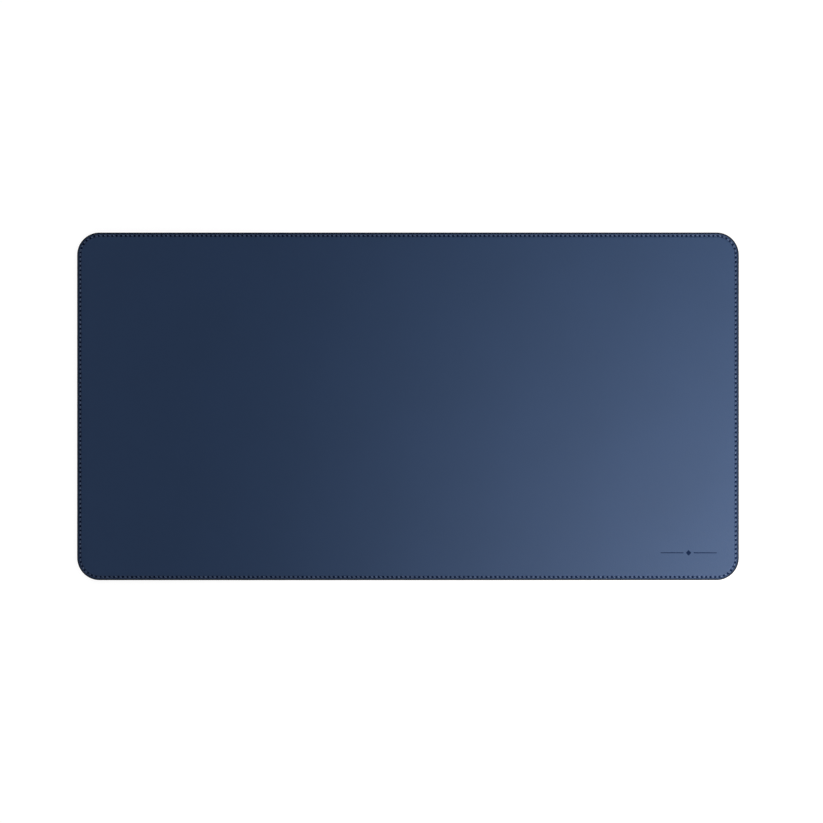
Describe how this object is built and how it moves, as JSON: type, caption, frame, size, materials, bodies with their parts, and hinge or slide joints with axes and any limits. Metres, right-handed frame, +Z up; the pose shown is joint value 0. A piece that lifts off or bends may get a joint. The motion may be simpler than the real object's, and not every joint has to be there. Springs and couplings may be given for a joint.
{
  "type": "desk mat",
  "caption": "Flat rectangular desk mat with rounded corners: smooth leather face, rubber core, suede underside, painted edge and a lockstitched border.",
  "frame": {"origin": "centre of the underside, on the desk", "axes": "+Z up, +X along the long side to the right, +Y away from the user"},
  "size_m": [0.59, 0.31, 0.0028],
  "materials": {
    "leather": "smooth matte polyurethane skin, fine grain",
    "carrier_knit": "knitted polyester, coagulated",
    "glue": "cured hot-melt film",
    "core_rubber": "dense calendered rubber sheet",
    "suede": "sanded microfibre nap",
    "edge_paint": "satin acrylic edge paint",
    "thread": "bonded three-ply polyester"
  },
  "bodies": {
    "root": {"suede_backing": "suede", "lower_glue_film": "glue", "rubber_core": "core_rubber", "upper_glue_film": "glue", "leather_carrier": "carrier_knit", "leather_skin": "leather", "edge_paint": "edge_paint", "needle_thread": "thread", "bobbin_thread": "thread"}
  },
  "joints": []
}
